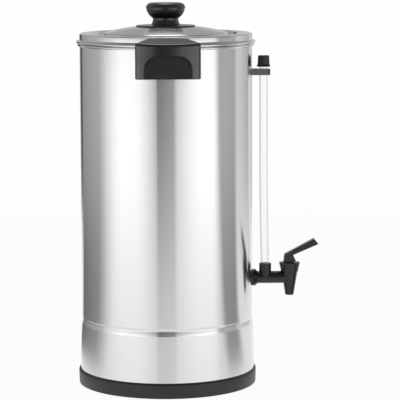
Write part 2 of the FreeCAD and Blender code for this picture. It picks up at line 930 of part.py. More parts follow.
def lid():
    """The pressed steel lid: a dome, a moat, a flat ring, a skirt and a hemmed flange with an inner lip."""
    hem_top = lid_low_z + lid_flange_t
    tip = (lid_flange_r, lid_low_z + 0.5 * lid_flange_t)
    lip_r = inner_r - lid_lip_gap
    mid_r = 0.5 * (dome_top_r + dome_r)
    mid_z = 0.5 * (dome_top_z + dome_edge_z) + dome_bulge
    corner = lid_corner * (1 - math.sqrt(0.5))
    hem_in = lid_flange_r - 0.5 * lid_flange_t
    return sheet(
        -lid_t,
        (lid_hole_r, dome_top_z),
        (dome_top_r, dome_top_z),
        ((mid_r, mid_z), (dome_r, dome_edge_z)),
        (dome_r + moat_draft, moat_z),
        (lid_ring_in_r - moat_draft, moat_z),
        (lid_ring_in_r, lid_ring_z),
        (lid_skirt_r - lid_corner, lid_ring_z),
        ((lid_skirt_r - corner, lid_ring_z - corner), (lid_skirt_r, lid_ring_z - lid_corner)),
        (lid_skirt_r, lid_skirt_low),
        (hem_in, hem_top),
        (tip, (hem_in, lid_low_z)),
        (lip_r, lid_low_z),
        (lip_r, lid_low_z - lid_lip_h),
    )


def knob_collar():
    """The black heat collar between the knob and the lid, a shallow cone with a rounded edge."""
    half = 0.5 * collar_edge_t
    return turned(
        (knob_screw_r, dome_top_z),
        (collar_r - half, dome_top_z),
        ((collar_r, dome_top_z + half), (collar_r - half, dome_top_z + collar_edge_t)),
        (collar_land_r, knob_low_z),
        (knob_screw_r, knob_low_z),
    )


def crown_height(radius):
    """The height of the knob's gently domed top at a radius."""
    dome = (crown_r**2 + crown_drop**2) / (2 * crown_drop)
    return knob_top_z - dome + math.sqrt(dome**2 - radius**2)


def lid_knob():
    """The moulded knob: a domed top, a band, a bowl and a neck, hollow underneath round its screw boss."""
    knob = turned(
        (0, knob_low_z),
        (knob_foot_r, knob_low_z),
        (knob_foot_r, knob_low_z + 1.4),
        ((neck_r + 0.4, 0.5 * (knob_low_z + neck_low_z) + 1.2), (neck_r, neck_low_z)),
        (neck_r, bowl_low_z),
        ((bowl_mid_r, bowl_mid_z), (knob_r - knob_step, knob_wide_z - knob_band_h - knob_step)),
        (knob_r, knob_wide_z - knob_band_h),
        (knob_r, knob_wide_z),
        ((shoulder_r, shoulder_z), (crown_r, crown_height(crown_r))),
        ((0.5 * crown_r, crown_height(0.5 * crown_r)), (0, knob_top_z)),
    )
    pocket = turned(
        (knob_pocket_in_r, knob_low_z),
        (knob_pocket_out_r, knob_low_z),
        (knob_pocket_out_r, knob_low_z + knob_pocket_h),
        (knob_pocket_in_r, knob_low_z + knob_pocket_h),
    )
    screw = rod(knob_screw_r, (0, 0, knob_low_z), (0, 0, knob_head_z + knob_screw_l))
    return knob.cut(group([pocket, screw]))


def knob_washer():
    """The washer under the lid."""
    washer = rod(knob_washer_r, (0, 0, knob_head_z), (0, 0, lid_under_z))
    return washer.cut(rod(knob_screw_r, (0, 0, knob_head_z), (0, 0, lid_under_z)))


def knob_screw():
    """The screw that holds the knob and its collar to the lid."""
    screw = rod(knob_head_r, (0, 0, knob_head_z - knob_head_t), (0, 0, knob_head_z))
    screw = screw.fuse(rod(knob_screw_r, (0, 0, knob_head_z), (0, 0, knob_head_z + knob_screw_l)))
    low = knob_head_z - knob_head_t
    return screw.cut(block((-knob_head_r, -0.6, low), (knob_head_r, 0.6, low + 1.2)))


def handle_screw_rods(radius, start_r, end_r):
    """Rods on the four handle screw axes, from one radius to another."""
    rods = []
    for side in (-90, 90):
        for turn in (-handle_screw_deg, handle_screw_deg):
            one = rod(radius, (start_r, 0, handle_screw_z), (end_r, 0, handle_screw_z))
            rods.append(spun(one, side + turn))
    return rods


def handle_half_width(y):
    """Half the handle's width at a distance from the urn's axis, on its straight flared sides."""
    flare = 0.5 * (handle_w - handle_rear_w) / (handle_side_y - handle_top_y)
    return 0.5 * handle_rear_w + flare * (y - handle_top_y)


def handle_top(y):
    """The height of the handle's sloping top at a distance from the urn's axis."""
    return handle_top_z - handle_slope * (y - handle_top_y)


def handle():
    """One handle: a flared shell on the wall with an arched recess in front, open underneath."""
    near = body_r - 20
    rear = 0.5 * handle_rear_w
    side = 0.5 * handle_w
    end = 0.5 * handle_end_w
    shoulder = 0.5 * (side + end) + handle_bulge
    shoulder_y = 0.5 * (handle_side_y + handle_end_y) + handle_bulge
    right = [V(rear, -near, 0), V(rear, -handle_top_y, 0), V(side, -handle_side_y, 0)]
    middle = V(0.5 * handle_mid_w, -handle_mid_y, 0)
    corner = V(shoulder, -shoulder_y, 0)
    front = V(end, -handle_end_y, 0)

    def flip(p):
        return V(-p.x, p.y, 0)

    edges = [
        Part.LineSegment(right[0], right[1]).toShape(),
        Part.Arc(right[1], middle, right[2]).toShape(),
        Part.Arc(right[2], corner, front).toShape(),
        Part.Arc(front, V(0, -handle_front_y, 0), flip(front)).toShape(),
        Part.Arc(flip(front), flip(corner), flip(right[2])).toShape(),
        Part.Arc(flip(right[2]), flip(middle), flip(right[1])).toShape(),
        Part.LineSegment(flip(right[1]), flip(right[0])).toShape(),
        Part.LineSegment(flip(right[0]), right[0]).toShape(),
    ]
    body = Part.Face(Part.Wire(edges)).extrude(V(0, 0, handle_top_z + 10 - handle_back_low_z))
    body.translate(V(0, 0, handle_back_low_z))
    far = handle_front_y + 10
    above = [(far, handle_top(far)), (near, handle_top(near))]
    above += [(near, handle_top_z + clear_of), (far, handle_top_z + clear_of)]
    top = Part.makePolygon([V(-handle_w, -y, z) for y, z in above + above[:1]])
    body = body.cut(Part.Face(top).extrude(V(2 * handle_w, 0, 0)))
    body = body.makeFillet(handle_round, [e for e in body.Edges if on_top_edge(e, near)])
    body = body.cut(handle_clearance())
    body = body.cut(finger_recess())
    body = body.cut(block((-handle_w, -far, handle_back_low_z - 1), (handle_w, -recess_back_y, handle_low_z)))
    body = body.cut(handle_hollow())
    return body.cut(group(handle_screw_rods(handle_screw_r, near, body_r + handle_screw_reach)))


def on_top_edge(edge, near):
    """Is this edge round the handle's top face, and not the one inside the tank?"""
    middle = edge.valueAt(0.5 * (edge.FirstParameter + edge.LastParameter))
    return abs(middle.z - handle_top(-middle.y)) < 0.01 and middle.y < -near - 1


def handle_clearance():
    """The space that the wall, the rolled rim and the lid's flange take out of the handle."""
    step_z = rim_z - rim_clear_drop
    low = rod(body_r, (0, 0, handle_back_low_z - 5), (0, 0, handle_top_z + 20))
    return low.fuse(block((-handle_w, -lid_clear_r, step_z), (handle_w, 0, handle_top_z + 20)))


def arch(y, half, top_z, corner):
    """An arch outline open downwards, at a distance from the urn's axis."""
    turn = corner * (1 - math.sqrt(0.5))
    low = handle_back_low_z - 10
    wire = path(
        (-half, low),
        (-half, top_z - corner),
        ((-half + turn, top_z - turn), (-half + corner, top_z)),
        (half - corner, top_z),
        ((half - turn, top_z - turn), (half, top_z - corner)),
        (half, low),
        (-half, low),
    )
    wire.translate(V(0, -y, 0))
    return wire


def finger_recess():
    """The arched recess in front, which narrows towards its back wall."""
    spread = 0.5 * (recess_w - recess_back_w) / (handle_front_y - recess_back_y)
    fall = recess_roof_drop / (handle_front_y - recess_back_y)
    outside = 5.0
    front = arch(
        handle_front_y + outside,
        0.5 * recess_w + spread * outside,
        recess_top_z + fall * outside,
        recess_corner + spread * outside,
    )
    back = arch(recess_back_y, 0.5 * recess_back_w, recess_top_z - recess_roof_drop, 0.75 * recess_corner)
    return Part.makeLoft([front, back], True, True)


def handle_hollow():
    """The hollow behind the recess and under the top, open underneath, with two screw bosses."""
    back_y = recess_back_y - handle_skin
    low = handle_back_low_z - 5
    mount_r = body_r + mount_t
    step_z = rim_z - rim_clear_drop
    near = body_r - 6
    near_half = 0.5 * handle_rear_w - handle_skin
    far_half = handle_half_width(back_y) - handle_skin - 1.0
    corners = [(-far_half, -back_y), (far_half, -back_y), (near_half, -handle_top_y), (near_half, -near)]
    corners += [(-near_half, -near), (-near_half, -handle_top_y)]
    plan = Part.Face(Part.makePolygon([V(x, y, low) for x, y in corners + corners[:1]]))
    lower = plan.extrude(V(0, 0, step_z - handle_skin - low))
    lower = lower.cut(rod(mount_r, (0, 0, low - 5), (0, 0, step_z + 20)))
    front_y = handle_front_y - handle_skin - handle_front_relief
    roof = handle_top(front_y) - handle_skin
    upper_low = recess_top_z + handle_skin
    inner_half = 0.5 * recess_back_w
    upper = block((-inner_half, -front_y, upper_low), (inner_half, -near, roof))
    link = block((-near_half, -back_y, step_z - handle_skin - 5), (near_half, -near, roof))
    rear = block((-handle_w, -lid_clear_r - handle_skin, low), (handle_w, 0, handle_top_z + 5))
    hollow = lower.fuse(upper.fuse(link).cut(rear))
    for boss in handle_screw_rods(handle_boss_r, body_r, body_r + handle_screw_reach + 2):
        hollow = hollow.cut(boss)
    return hollow


def handle_seals():
    """Soft washers under the handle screws' heads, shaped to the wall inside."""
    space = inside_of(-wall_t, rim_z)
    start = inner_r - seal_t
    discs = handle_screw_rods(seal_r, start, inner_r + 2)
    holes = handle_screw_rods(handle_screw_r, start - 1, inner_r + 3)
    return group([disc.cut(hole).common(space) for disc, hole in zip(discs, holes)])


def handle_screws():
    """The screws that hold the handles, driven from inside the tank above the water."""
    start = inner_r - seal_t
    heads = handle_screw_rods(handle_head_r, start - handle_head_t, start)
    shanks = handle_screw_rods(handle_screw_r, start - 1, body_r + handle_screw_reach - 1)
    return group([head.fuse(shank) for head, shank in zip(heads, shanks)])


def turned_on_pipe(*steps):
    """A solid turned about the tap's level pipe, from pairs of X and radius."""
    face = flat(*steps)
    solid = face.revolve(V(), X_AXIS, 360)
    return moved(solid, z=tap_z)


def barrel_cone(offset, low_z, high_z):
    """A cone parallel to the barrel's outside, grown or shrunk by an offset."""
    rise = (barrel_top_r - spout_r) / (barrel_top_z - spout_z)
    low_r = spout_r + rise * (low_z - spout_z) + offset
    high_r = spout_r + rise * (high_z - spout_z) + offset
    return taper(low_r, high_r, (barrel_x, 0, low_z), (barrel_x, 0, high_z))


def tap_body():
    """The tap's one moulding: shank, flange, pipe, gauge socket, barrel and spout."""
    body = turned_on_pipe(
        (tap_shank_in, 0),
        (tap_shank_in, tap_shank_r),
        (tap_seal_face_x, tap_shank_r),
        (tap_seal_face_x, tap_flange_r - 1.4),
        (tap_flange_x, tap_flange_r),
        (tap_flange_end_x, tap_flange_end_r),
        (tap_flange_end_x, tap_pipe_r),
        (barrel_x, tap_pipe_r),
        (barrel_x, 0),
    )
    body = body.fuse(rod(socket_r, (socket_x, 0, tap_z), (socket_x, 0, socket_top_z)))
    body = body.fuse(barrel_cone(0, spout_z, barrel_top_z))
    body = body.fuse(rod(tap_neck_r, (barrel_x, 0, barrel_top_z - 1), (barrel_x, 0, neck_top_z)))
    bores = [
        rod(tap_pipe_bore_r, (tap_shank_in, 0, tap_z), (barrel_x, 0, tap_z)),
        rod(tube_bore_r - 1, (socket_x, 0, tap_z), (socket_x, 0, socket_top_z)),
        rod(grommet_r, (socket_x, 0, socket_floor_z), (socket_x, 0, socket_top_z)),
        rod(spout_bore_r, (barrel_x, 0, spout_z), (barrel_x, 0, tap_seat_z + 1)),
        barrel_cone(-barrel_wall, tap_seat_z, barrel_top_z),
        rod(tap_neck_bore_r, (barrel_x, 0, barrel_top_z - 1), (barrel_x, 0, neck_top_z)),
    ]
    return body.cut(group(bores)).removeSplitter()


def tap_outer_seal():
    """The soft ring between the tap's flange and the wall outside."""
    seal = rod(tap_seal_r, (body_r - 4, 0, tap_z), (tap_seal_face_x, 0, tap_z))
    seal = seal.cut(rod(tap_shank_r, (body_r - 9, 0, tap_z), (body_r + 9, 0, tap_z)))
    return seal.cut(rod(body_r, (0, 0, tap_z - clear_of), (0, 0, tap_z + clear_of)))


def tap_inner_seal():
    """The soft ring between the wall inside and the tap's washer."""
    face_x = inner_r - tap_in_seal_t
    seal = rod(tap_seal_r, (face_x, 0, tap_z), (inner_r + 2, 0, tap_z))
    seal = seal.cut(rod(tap_shank_r, (face_x - 1, 0, tap_z), (inner_r + 3, 0, tap_z)))
    return seal.common(rod(inner_r, (0, 0, tap_z - clear_of), (0, 0, tap_z + clear_of)))


def tap_washer():
    """The steel washer inside the tank."""
    high = inner_r - tap_in_seal_t
    washer = rod(tap_washer_r, (high - tap_washer_t, 0, tap_z), (high, 0, tap_z))
    return washer.cut(rod(tap_shank_r, (high - 5, 0, tap_z), (high + 5, 0, tap_z)))


def tap_nut():
    """The hexagon nut on the tap's shank."""
    high = inner_r - tap_in_seal_t - tap_washer_t
    corner = tap_nut_af / math.sqrt(3)
    turns = [math.radians(60 * i) for i in range(7)]
    hexagon = [V(high - tap_nut_t, corner * math.cos(t), tap_z + corner * math.sin(t)) for t in turns]
    nut = Part.Face(Part.makePolygon(hexagon)).extrude(V(tap_nut_t, 0, 0))
    return nut.cut(rod(tap_shank_r, (high - 20, 0, tap_z), (high + 5, 0, tap_z)))


def level_edges(shape, z):
    """The edges of a shape that lie level at a height."""
    return [e for e in shape.Edges if abs(e.BoundBox.ZMin - z) < 0.01 and e.BoundBox.ZLength < 0.01]


def bonnet():
    """The winged bonnet screwed on the barrel, which guides the stem."""
    rise = (bonnet_top_r - bonnet_low_r) / (bonnet_top_z - bonnet_wing_z)
    cap = taper(bonnet_low_r + rise, bonnet_top_r, (0, 0, bonnet_wing_z), (0, 0, bonnet_top_z))
    cap = cap.makeFillet(bonnet_edge, level_edges(cap, bonnet_top_z))
    cap = cap.fuse(rod(bonnet_low_r, (0, 0, barrel_top_z), (0, 0, bonnet_wing_z)))
    low = bonnet_wing_z + bonnet_notch_floor
    notch = rod(bonnet_notch_r, (bonnet_notch_at, 0, low), (bonnet_notch_at, 0, bonnet_top_z + 1))
    cap = cap.cut(group(ring_of(notch, bonnet_notches, 45)))
    roof = bonnet_top_z - bonnet_roof_t
    hollow = [
        rod(tap_neck_r, (0, 0, barrel_top_z), (0, 0, neck_top_z)),
        rod(tap_neck_bore_r, (0, 0, barrel_top_z), (0, 0, roof)),
        rod(stem_r + running_gap, (0, 0, barrel_top_z), (0, 0, bonnet_top_z)),
    ]
    return moved(cap.cut(group(hollow)), barrel_x)


def tap_stem():
    """The stem: a rod with a spring collar, cross-drilled at the top for the lever's pin."""
    low = tap_seat_z + cup_gap + 1.0
    collar_z = tap_seat_z + cup_gap + cup_h
    stem = rod(stem_r, (barrel_x, 0, low), (barrel_x, 0, stem_top_z))
    stem = stem.fuse(rod(stem_collar_r, (barrel_x, 0, collar_z), (barrel_x, 0, collar_z + stem_collar_t)))
    far = stem_r + 1
    hole = rod(lever_pin_r + running_gap, (barrel_x, -far, lever_pin_z), (barrel_x, far, lever_pin_z))
    return stem.cut(hole)


def seat_cup():
    """The soft cup that closes the spout."""
    low = tap_seat_z + cup_gap
    cup = rod(cup_r, (barrel_x, 0, low), (barrel_x, 0, low + cup_h))
    cup = cup.fuse(taper(cup_nose_r - 0.8, cup_nose_r, (barrel_x, 0, low - cup_nose_h), (barrel_x, 0, low)))
    return cup.cut(rod(stem_r, (barrel_x, 0, low + 1.0), (barrel_x, 0, low + cup_h)))


def spring_span():
    """The heights between which the tap's spring is squeezed."""
    low = tap_seat_z + cup_gap + cup_h + stem_collar_t + spring_wire_r + 0.05
    return low, bonnet_top_z - bonnet_roof_t - spring_wire_r - 0.05


def tap_spring():
    """The compression spring that closes the tap, as quarter-turn arcs."""
    low, high = spring_span()
    pitch = (high - low) / spring_turns

    def spot(turns):
        angle = 2 * math.pi * turns
        x, y = spring_coil_r * math.cos(angle), spring_coil_r * math.sin(angle)
        return V(barrel_x + x, y, low + pitch * turns)

    quarters = [0.25 * i for i in range(4 * spring_turns)]
    edges = [Part.Arc(spot(q), spot(q + 0.125), spot(q + 0.25)).toShape() for q in quarters]
    ring = Part.Wire([Part.makeCircle(spring_wire_r, spot(0), V(0, 2 * math.pi * spring_coil_r, pitch))])
    return Part.Wire(edges).makePipeShell([ring], True, False)


def lever_cam():
    """The foot's rolling edge: its reach below the pin grows evenly as the lever is pressed."""
    drop = lever_pin_z - bonnet_top_z - lever_foot_gap
    points = []
    for i in range(cam_steps + 1):
        turn = math.radians(cam_deg + cam_over_deg) * i / cam_steps
        reach = drop + cam_reach * turn
        x = reach * math.sin(turn) + cam_reach * math.cos(turn)
        z = -reach * math.cos(turn) + cam_reach * math.sin(turn)
        points.append((barrel_x + x, lever_pin_z + z))
    return points


def tap_lever():
    """The press-down lever: a forked foot on the stem's pin and a rising paddle that widens to its tip."""
    cam = lever_cam()
    foot_z = bonnet_top_z + lever_foot_gap
    back_x = barrel_x - lever_foot_x
    half = 0.5 * lever_cheek_w
    corners = [(back_x - lever_heel, foot_z), (back_x + lever_back_lean, lever_back_top)]
    corners += [(lever_bend_x, lever_bend_z), (lever_bend_x + lever_heel_x, lever_bend_z + lever_heel_z)]
    corners += [(lever_under_x, lever_under_z), cam[-1]]
    outline = [V(x, 0, z) for x, z in corners]
    edges = [Part.LineSegment(a, b).toShape() for a, b in zip(outline, outline[1:])]
    curve = Part.BSplineCurve()
    curve.interpolate([V(x, 0, z) for x, z in reversed(cam)])
    edges.append(curve.toShape())
    edges.append(Part.LineSegment(V(cam[0][0], 0, cam[0][1]), outline[0]).toShape())
    foot = Part.Face(Part.Wire(edges))
    foot.translate(V(0, -half, 0))
    foot = foot.extrude(V(0, lever_cheek_w, 0))
    root = lever_section((lever_bend_x, lever_bend_z), (lever_under_x, lever_under_z), lever_root_w)
    tip = lever_section((lever_tip_top_x, lever_tip_top_z), (lever_tip_low_x, lever_tip_low_z), lever_tip_w)
    arm = Part.makeLoft([root, tip], True, True)
    arm = arm.makeFillet(lever_round, [e for e in arm.Edges if e.BoundBox.XLength > 20])
    lever = foot.fuse(arm).removeSplitter()
    slot_half = stem_r + lever_slot_gap
    slot_top = stem_top_z + 1.0
    slot = block((back_x - 5, -slot_half, foot_z - 5), (barrel_x + lever_slot_reach, slot_half, slot_top))
    swing = block((barrel_x, -slot_half, foot_z - 5), (barrel_x + lever_swing_reach, slot_half, lever_pin_z))
    pin = rod(lever_pin_r, (barrel_x, lever_web - half, lever_pin_z), (barrel_x, half + 1, lever_pin_z))
    return lever.cut(group([slot, swing, pin]))


def lever_section(top, low, width):
    """A rectangle across the lever's arm."""
    half = V(0, 0.5 * width, 0)
    high, foot = V(top[0], 0, top[1]), V(low[0], 0, low[1])
    return Part.makePolygon([high - half, high + half, foot + half, foot - half, high - half])


def lever_pin():
    """The cross pin that joins the lever to the stem."""
    half = 0.5 * lever_cheek_w
    return rod(lever_pin_r, (barrel_x, lever_web - half, lever_pin_z), (barrel_x, half, lever_pin_z))


def gauge_path(radius):
    """A straight rod with a slight bend at its foot, along the gauge tube."""
    drop = tube_bend_z - socket_floor_z - tube_foot_gap
    bend_r = (drop**2 + tube_lean**2) / (2 * tube_lean)
    angle = math.degrees(math.asin(drop / bend_r))
    disc = Part.Face(Part.Wire([Part.makeCircle(radius, V(gauge_x, 0, tube_bend_z))]))
    foot = disc.revolve(V(gauge_x + bend_r, 0, tube_bend_z), Y_AXIS, -angle)
    return foot.fuse(rod(radius, (gauge_x, 0, tube_bend_z), (gauge_x, 0, tube_top_z)))


def gauge_tube():
    """The clear sight tube."""
    return gauge_path(tube_r).cut(gauge_path(tube_bore_r))


def tube_grommet():
    """The soft sleeve that seals the tube in the tap's socket."""
    sleeve = rod(grommet_r, (socket_x, 0, socket_floor_z), (socket_x, 0, socket_floor_z + grommet_h))
    return sleeve.cut(gauge_path(tube_r))


def gauge_cap():
    """The fluted cap pushed over the tube's top, with a vent hole."""
    flange_top = cap_low_z + cap_flange_h
    cap = taper(cap_r, cap_top_r, (0, 0, flange_top), (0, 0, cap_top_z))
    cap = cap.makeFillet(cap_edge, level_edges(cap, cap_top_z))
    flute = rod(cap_flute_r, (cap_r + 0.9, 0, flange_top + 0.8), (cap_r + 0.3, 0, cap_top_z + 1))
    cap = cap.cut(group(ring_of(flute, cap_flutes, 18)))
    flange = taper(cap_flange_r - 0.7, cap_flange_r, (0, 0, cap_low_z), (0, 0, cap_low_z + 1.2))
    flange = flange.fuse(taper(cap_flange_r, cap_r, (0, 0, cap_low_z + 1.2), (0, 0, flange_top)))
    cap = cap.fuse(flange)
    cap = cap.cut(rod(tube_r + cap_fit_gap, (0, 0, cap_low_z), (0, 0, tube_top_z + cap_roof_gap)))
    cap = cap.cut(rod(cap_vent_r, (0, 0, cap_low_z), (0, 0, cap_top_z + 1)))
    return moved(cap, gauge_x)


arm_mid_z = 0.5 * (arm_low_z + arm_high_z)


def gauge_bracket():
    """The steel bracket on the wall: a back plate and two arms that hold the tube's clip."""
    back = block((body_r - 6, -arm_half, arm_low_z), (body_r + arm_t, arm_half, arm_high_z))
    bracket = back
    for side in (-1, 1):
        inner, outer = sorted((side * (arm_half - arm_t), side * arm_half))
        bracket = bracket.fuse(block((body_r - 6, inner, arm_low_z), (arm_end_x, outer, arm_high_z)))
    bracket = bracket.cut(rod(body_r, (0, 0, 0), (0, 0, rim_z))).removeSplitter()
    return bracket.cut(rod(rivet_r, (body_r - 9, 0, arm_mid_z), (body_r + 9, 0, arm_mid_z)))


def tube_clip():
    """The black clip between the bracket's arms, with a rounded nose."""
    half = arm_half - arm_t
    nose = clip_nose_x - clip_nose_round
    clip = block((clip_rear_x, -half, arm_low_z), (nose, half, arm_high_z))
    tip = half - clip_nose_round
    clip = clip.fuse(block((nose - 1, -tip, arm_low_z), (clip_nose_x, tip, arm_high_z)))
    for side in (-1, 1):
        clip = clip.fuse(rod(clip_nose_round, (nose, side * tip, arm_low_z), (nose, side * tip, arm_high_z)))
    clip = clip.removeSplitter()
    return clip.cut(rod(tube_r, (gauge_x, 0, arm_low_z - 1), (gauge_x, 0, arm_high_z + 1)))


def bracket_rivet():
    """The rivet that holds the bracket, headed outside and inside the tank."""
    inside_x = inner_r - rivet_seal_t
    outside_x = body_r + arm_t
    rivet = rod(rivet_r, (inside_x - rivet_head_t, 0, arm_mid_z), (outside_x + rivet_head_t, 0, arm_mid_z))
    rivet = rivet.fuse(rod(rivet_head_r, (inside_x - rivet_head_t, 0, arm_mid_z), (inside_x, 0, arm_mid_z)))
    return rivet.fuse(rod(rivet_head_r, (outside_x, 0, arm_mid_z), (outside_x + rivet_head_t, 0, arm_mid_z)))


def rivet_seal():
    """The soft washer under the rivet's inner head."""
    start = inner_r - rivet_seal_t
    seal = rod(rivet_seal_r, (start, 0, arm_mid_z), (inner_r + 2, 0, arm_mid_z))
    seal = seal.cut(rod(rivet_r, (start - 1, 0, arm_mid_z), (inner_r + 3, 0, arm_mid_z)))
    return seal.common(rod(inner_r, (0, 0, arm_low_z), (0, 0, arm_high_z)))


def pump_base():
    """The pump's bell foot, which stands in the floor's well and traps the steam."""
    low = well_floor_z + foot_gap
    top = low + bell_h
    hub = pump_r + hub_t
    bell = sheet(
        -bell_t,
        (pump_r, top),
        (bell_top_r, top),
        (foot_r, low + 4),
        (foot_r, low),
    )
    tube = turned((pump_r, top - bell_t), (hub, top - bell_t), (hub, top + hub_h), (pump_r, top + hub_h))
    bell = bell.fuse(tube)
    slant_r = 0.5 * (bell_top_r + foot_r)
    hole = rod(bell_hole_r, (slant_r - 4, 0, low + 4), (slant_r + 8, 0, low + 10))
    return bell.cut(group(ring_of(hole, bell_holes)))


def pump_low_z():
    """The height of the pump tube's open foot inside the bell."""
    roof = well_floor_z + foot_gap + bell_h - bell_t
    return roof - valve_travel - 0.3 - valve_t - pump_foot_t


def pump_tube():
    """The percolator's riser tube, flanged at its foot to keep the valve on."""
    low = pump_low_z()
    return turned(
        (pump_bore_r, low),
        (pump_foot_r, low),
        (pump_foot_r, low + pump_foot_t),
        (pump_r, low + pump_foot_t),
        (pump_r, pump_top_z),
        (pump_bore_r, pump_top_z),
    )


def pump_valve():
    """The loose ring that shuts the bell as steam lifts it."""
    low = pump_low_z() + pump_foot_t + 0.1
    bore = pump_r + running_gap
    return turned((bore, low), (valve_r, low), (valve_r, low + valve_t), (bore, low + valve_t))


def pump_collar():
    """The collar crimped on the riser tube that carries the basket."""
    high = collar_low_z + collar_h
    return turned((pump_r, collar_low_z), (pump_collar_r, high - 1), (pump_collar_r, high), (pump_r, high))


def rows_of_holes(rows, low, high):
    """Small holes in rings, evenly spaced along each ring."""
    holes = []
    for row in rows:
        one = rod(basket_hole_r, (row, 0, low), (row, 0, high))
        holes += ring_of(one, round(2 * math.pi * row / hole_spacing), row)
    return group(holes)


def coffee_basket():
    """The perforated coffee basket, with a sleeve over the riser tube and a wired rim."""
    low = collar_low_z + collar_h + 0.1
    sleeve = pump_r + sleeve_gap
    top = low + basket_h
    basket = sheet(
        basket_t,
        (sleeve, top + sleeve_rise),
        (sleeve, low),
        (basket_r, low),
        (basket_r, top),
    )
    bead = Part.makeTorus(basket_r - 0.5 * basket_t, basket_rim_r, V(0, 0, top))
    basket = basket.fuse(bead)
    return basket.cut(rows_of_holes(basket_rows, low - 3, low + 3))


def basket_cover():
    """The spreader plate that lies on the basket and drips the water evenly."""
    rim_top = collar_low_z + collar_h + 0.1 + basket_h + basket_rim_r
    low = rim_top + cover_gap
    sleeve = pump_r + sleeve_gap + basket_t
    lip = basket_r + basket_rim_r + cover_lip_gap
    cover = sheet(
        -basket_t,
        (sleeve + sleeve_gap, low + basket_t),
        (lip + basket_t, low + basket_t),
        (lip + basket_t, low - cover_lip_h),
    )
    return cover.cut(rows_of_holes(cover_rows, low - 2, low + 2))


def main():
    os.makedirs("parts", exist_ok=True)
    save("tank_wall", tank_wall())
    save("tank_floor", tank_floor())
    save("base_ring", base_ring())
    save("bottom_plate", bottom_plate())
    save("wall_brackets", wall_brackets())
    save("base_screws", base_screws())
    save("main_heater", heater(main_ring_r, main_w, main_h, main_gap_deg, main_leg_l))
    save("warming_heater", heater(warm_ring_r, warm_w, warm_h, warm_gap_deg, warm_leg_l))
    save("element_terminals", element_terminals())
    save("thermostat", thermostat())
    save("thermostat_clip", thermostat_clip())
    save("thermal_fuse", thermal_fuse())
    save("fuse_saddle", fuse_saddle())
    save("cord_gland", cord_gland())
    save("terminal_block", terminal_block())
    save("block_screws", block_screws())
    save("ready_lamp", ready_lamp())
    save("lamp_clip", lamp_clip())
    save("supply_leads", supply_leads())
    save("heater_leads", heater_leads())
    save("lamp_leads", lamp_leads())
    save("lid", lid())
    save("knob_collar", knob_collar())
    save("lid_knob", lid_knob())
    save("knob_washer", knob_washer())
    save("knob_screw", knob_screw())
    front = handle()
    save("front_handle", front)
    save("rear_handle", spun(front, 180))
    save("handle_seals", handle_seals())
    save("handle_screws", handle_screws())
    save("tap_body", tap_body())
    save("tap_outer_seal", tap_outer_seal())
    save("tap_inner_seal", tap_inner_seal())
    save("tap_washer", tap_washer())
    save("tap_nut", tap_nut())
    save("bonnet", bonnet())
    save("tap_stem", tap_stem())
    save("seat_cup", seat_cup())
    save("tap_spring", tap_spring())
    save("tap_lever", tap_lever())
    save("lever_pin", lever_pin())
    save("gauge_tube", gauge_tube())
    save("tube_grommet", tube_grommet())
    save("gauge_cap", gauge_cap())
    save("gauge_bracket", gauge_bracket())
    save("tube_clip", tube_clip())
    save("bracket_rivet", bracket_rivet())
    save("rivet_seal", rivet_seal())
    save("pump_base", pump_base())
    save("pump_tube", pump_tube())
    save("pump_valve", pump_valve())
    save("pump_collar", pump_collar())
    save("coffee_basket", coffee_basket())
    save("basket_cover", basket_cover())
    print(len(SAVED), "pieces")


main()
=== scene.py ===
import json
import math

import bpy
from mathutils import Matrix, Vector


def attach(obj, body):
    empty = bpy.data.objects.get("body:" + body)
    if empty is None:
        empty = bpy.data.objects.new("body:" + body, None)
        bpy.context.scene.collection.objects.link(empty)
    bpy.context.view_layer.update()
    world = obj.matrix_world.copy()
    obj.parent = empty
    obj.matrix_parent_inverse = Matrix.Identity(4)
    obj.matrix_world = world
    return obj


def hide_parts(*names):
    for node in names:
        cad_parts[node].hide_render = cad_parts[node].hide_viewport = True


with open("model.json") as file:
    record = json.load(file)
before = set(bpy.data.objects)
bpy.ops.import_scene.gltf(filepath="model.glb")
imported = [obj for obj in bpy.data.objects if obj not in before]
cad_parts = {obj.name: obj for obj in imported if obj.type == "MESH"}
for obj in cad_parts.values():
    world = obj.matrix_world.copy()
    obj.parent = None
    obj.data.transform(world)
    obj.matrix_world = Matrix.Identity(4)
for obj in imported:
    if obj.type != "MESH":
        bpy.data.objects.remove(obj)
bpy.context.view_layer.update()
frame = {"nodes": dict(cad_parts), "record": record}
MM = 0.001

# Camera.
# A long lens, level with the upper part of the urn and tilted slightly down, as in the photograph.
scene = bpy.context.scene
eye = bpy.data.cameras.new("camera")
film_width, focal_length = 36.0, 187.63
stand_back, stand_height, round_urn = 3.075, 0.67664, math.radians(-1.1)
eye.sensor_width, eye.lens = film_width, focal_length
camera = bpy.data.objects.new("camera", eye)
scene.collection.objects.link(camera)
yaw, pitch, roll = math.radians(0.924), math.radians(7.490), math.radians(-0.199)
ahead = Vector((math.sin(yaw) * math.cos(pitch), math.cos(yaw) * math.cos(pitch), -math.sin(pitch)))
across = Vector((math.cos(yaw), -math.sin(yaw), 0.0))
upright = across.cross(ahead)
right = across * math.cos(roll) + upright * math.sin(roll)
above = upright * math.cos(roll) - across * math.sin(roll)
turn = Matrix((right, above, -ahead)).transposed().to_4x4()
place = Matrix.Translation((0.0, -stand_back, stand_height))
camera.matrix_world = Matrix.Rotation(round_urn, 4, "Z") @ place @ turn
eye.clip_end = 50.0
scene.camera = camera


